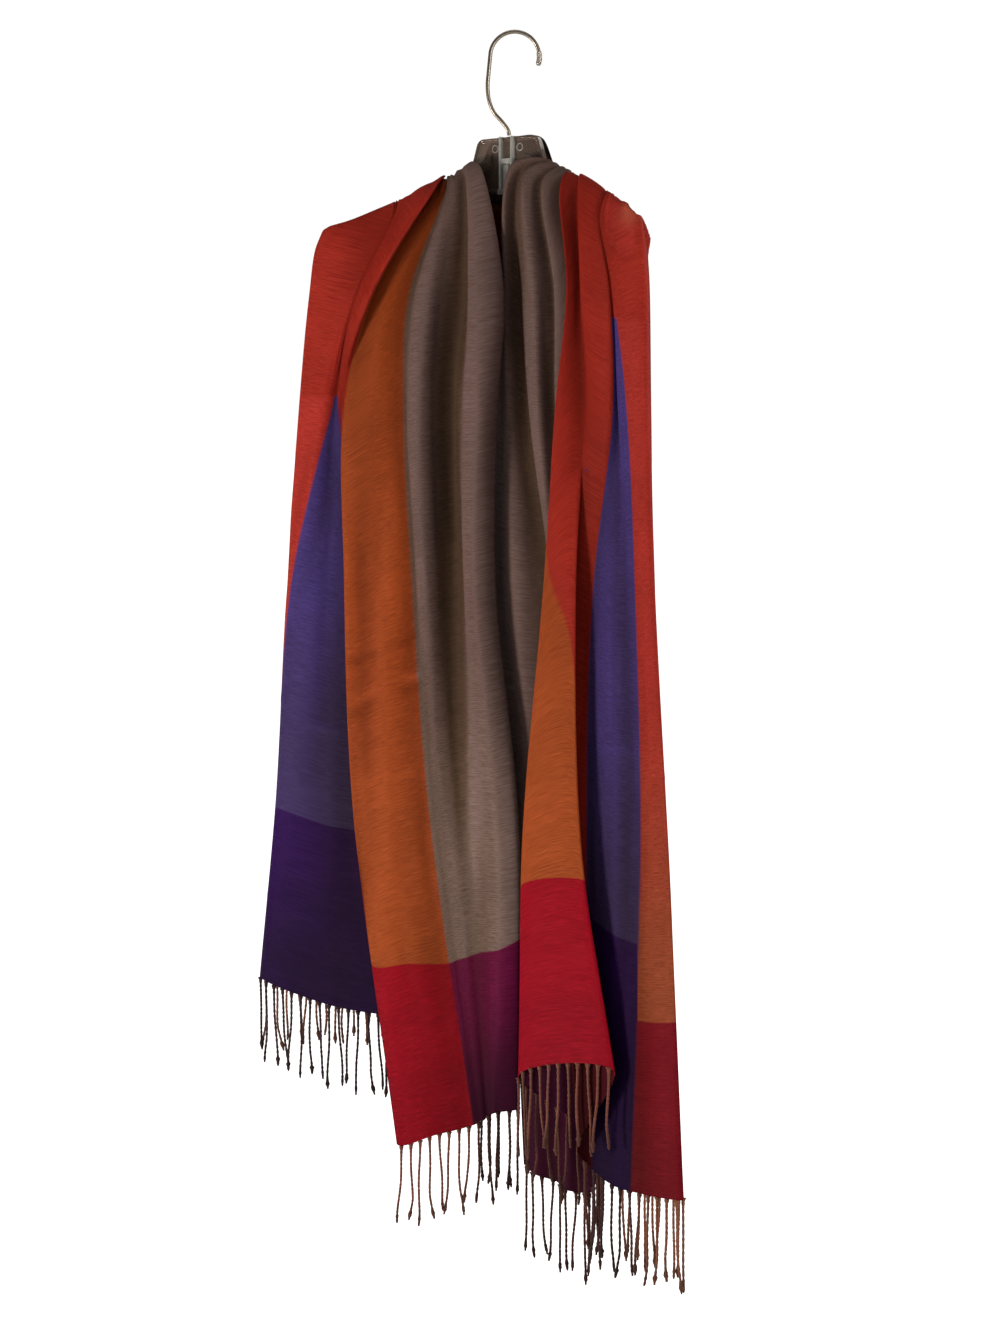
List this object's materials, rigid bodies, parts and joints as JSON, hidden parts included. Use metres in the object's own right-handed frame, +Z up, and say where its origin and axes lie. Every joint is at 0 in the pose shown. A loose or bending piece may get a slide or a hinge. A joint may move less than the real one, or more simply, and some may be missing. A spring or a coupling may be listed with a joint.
{
  "type": "rebozo shawl on clear hanger",
  "caption": "Long striped woven shawl with fringed ends, draped over a clear plastic clothes hanger with a bent wire hook; ends fall in long soft folds in front and the middle swags behind.",
  "frame": {"origin": "underside of the hook's arch, where a rail bears", "axes": "+Z up, the shawl's front towards -Y, +X to the right as seen from the front, along the hanger"},
  "size_m": [0.572, 0.1211, 1.2684],
  "materials": {
    "hook_wire": "dull bronze-grey wire",
    "clear_plastic": "clear moulded plastic",
    "taupe_cloth": "shot taupe weave, satin sheen",
    "orange_cloth": "burnt orange weave, satin sheen",
    "red_cloth": "red weave, satin sheen",
    "blue_cloth": "violet blue weave, satin sheen",
    "fringe_yarn": "loosely twisted warp ends"
  },
  "bodies": {
    "root": {"wire_hook": "hook_wire", "clear_hanger": "clear_plastic", "left_neck_fall": "taupe_cloth", "left_neck_fall_fringe": "fringe_yarn", "left_front_panel": "orange_cloth", "left_front_panel_fringe": "fringe_yarn", "left_side_fall": "blue_cloth", "left_side_fall_fringe": "fringe_yarn", "left_rear_fall": "red_cloth", "left_rear_fall_fringe": "fringe_yarn", "right_neck_fall": "taupe_cloth", "right_neck_fall_fringe": "fringe_yarn", "right_front_panel": "orange_cloth", "right_front_panel_fringe": "fringe_yarn", "right_side_fall": "blue_cloth", "right_side_fall_fringe": "fringe_yarn", "right_rear_fall": "red_cloth", "right_rear_fall_fringe": "fringe_yarn", "left_shoulder": "red_cloth", "right_shoulder": "red_cloth", "back_swag": "red_cloth", "neck_collar": "taupe_cloth"}
  },
  "joints": []
}
